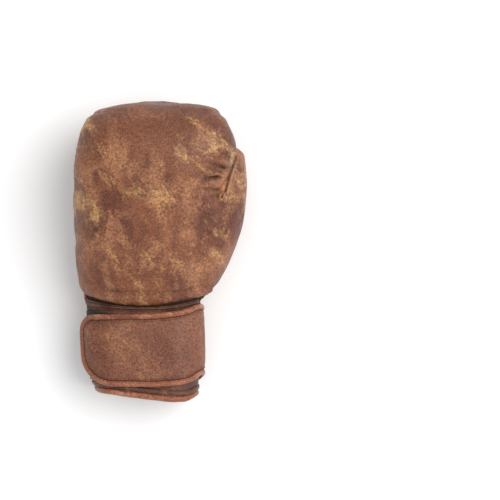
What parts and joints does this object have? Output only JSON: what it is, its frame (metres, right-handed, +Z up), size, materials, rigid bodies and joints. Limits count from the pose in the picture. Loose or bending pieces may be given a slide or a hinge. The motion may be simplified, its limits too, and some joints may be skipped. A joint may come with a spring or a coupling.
{
  "type": "boxing glove",
  "caption": "Padded leather boxing glove for the left hand, with an attached thumb, a mesh palm, a slit cuff and a hook-and-loop wrist strap.",
  "frame": {"origin": "middle of the footprint, on the surface that the glove lies on", "axes": "+X towards the thumb, +Y from the cuff's mouth towards the knuckles, +Z up, out of the back of the hand"},
  "size_m": [0.1739, 0.3067, 0.1261],
  "materials": {
    "worn_leather": "distressed, semi-matt",
    "binding_leather": "smooth, satin",
    "smooth_leather": "smooth, dark",
    "mesh_fabric": "open spacer mesh",
    "lining_fabric": "matt woven",
    "tape": "hook-and-loop pile",
    "foam": "closed-cell foam"
  },
  "bodies": {
    "glove": {"back_leather": "worn_leather", "knuckle_foam_outer": "foam", "knuckle_foam_inner": "foam", "fist_face_leather": "worn_leather", "fist_side_gusset_little": "worn_leather", "fist_side_gusset_thumb": "worn_leather", "fist_roll_foam": "foam", "finger_band_leather": "smooth_leather", "grip_bar_foam": "foam", "palm_mesh": "mesh_fabric", "palm_leather": "worn_leather", "palm_foam": "foam", "palm_piping": "binding_leather", "cuff_palm_foam": "foam", "cuff_back_foam": "foam", "cuff_back_leather": "worn_leather", "cuff_top_roll": "worn_leather", "loop_tape": "tape", "cuff_hem_binding": "binding_leather", "slit_binding": "binding_leather", "slit_facing": "worn_leather", "hand_lining": "lining_fabric", "thumb_tack": "worn_leather", "strap_anchor_leather": "worn_leather", "strap_anchor_backing": "lining_fabric", "strap_anchor_binding": "binding_leather"},
    "thumb": {"thumb_outer_leather": "worn_leather", "thumb_inner_leather": "worn_leather", "thumb_foam": "foam", "thumb_lining": "lining_fabric"},
    "strap_wrap": {"strap_wrap_leather": "worn_leather", "strap_wrap_backing": "lining_fabric", "strap_wrap_binding": "binding_leather"},
    "strap_back": {"strap_back_leather": "worn_leather", "strap_back_backing": "lining_fabric", "strap_back_binding": "binding_leather", "strap_back_hook_tape": "tape"},
    "strap_tip": {"strap_tip_leather": "worn_leather", "strap_tip_backing": "lining_fabric", "strap_tip_binding": "binding_leather", "strap_tip_hook_tape": "tape"}
  },
  "joints": [
    {"name": "strap_wrap_swing", "type": "hinge", "parent": "glove", "child": "strap_wrap", "pos_m": [0.0366, -0.1005, 0.0098], "axis": [0, 1, 0], "range_deg": [0, 75]},
    {"name": "strap_back_lift", "type": "hinge", "parent": "strap_wrap", "child": "strap_back", "pos_m": [0.0366, -0.1005, 0.065], "axis": [0, 1, 0], "range_deg": [0, 80]},
    {"name": "strap_tip_peel", "type": "hinge", "parent": "strap_back", "child": "strap_tip", "pos_m": [-0.038, -0.1005, 0.0756], "axis": [0, 1, 0], "range_deg": [0, 45]},
    {"name": "thumb_flex", "type": "hinge", "parent": "glove", "child": "thumb", "pos_m": [0.046, -0.034, 0.042], "axis": [-0.1392, 0, -0.9903], "range_deg": [0, 7], "stiffness_Nm_per_rad": 0.6}
  ]
}
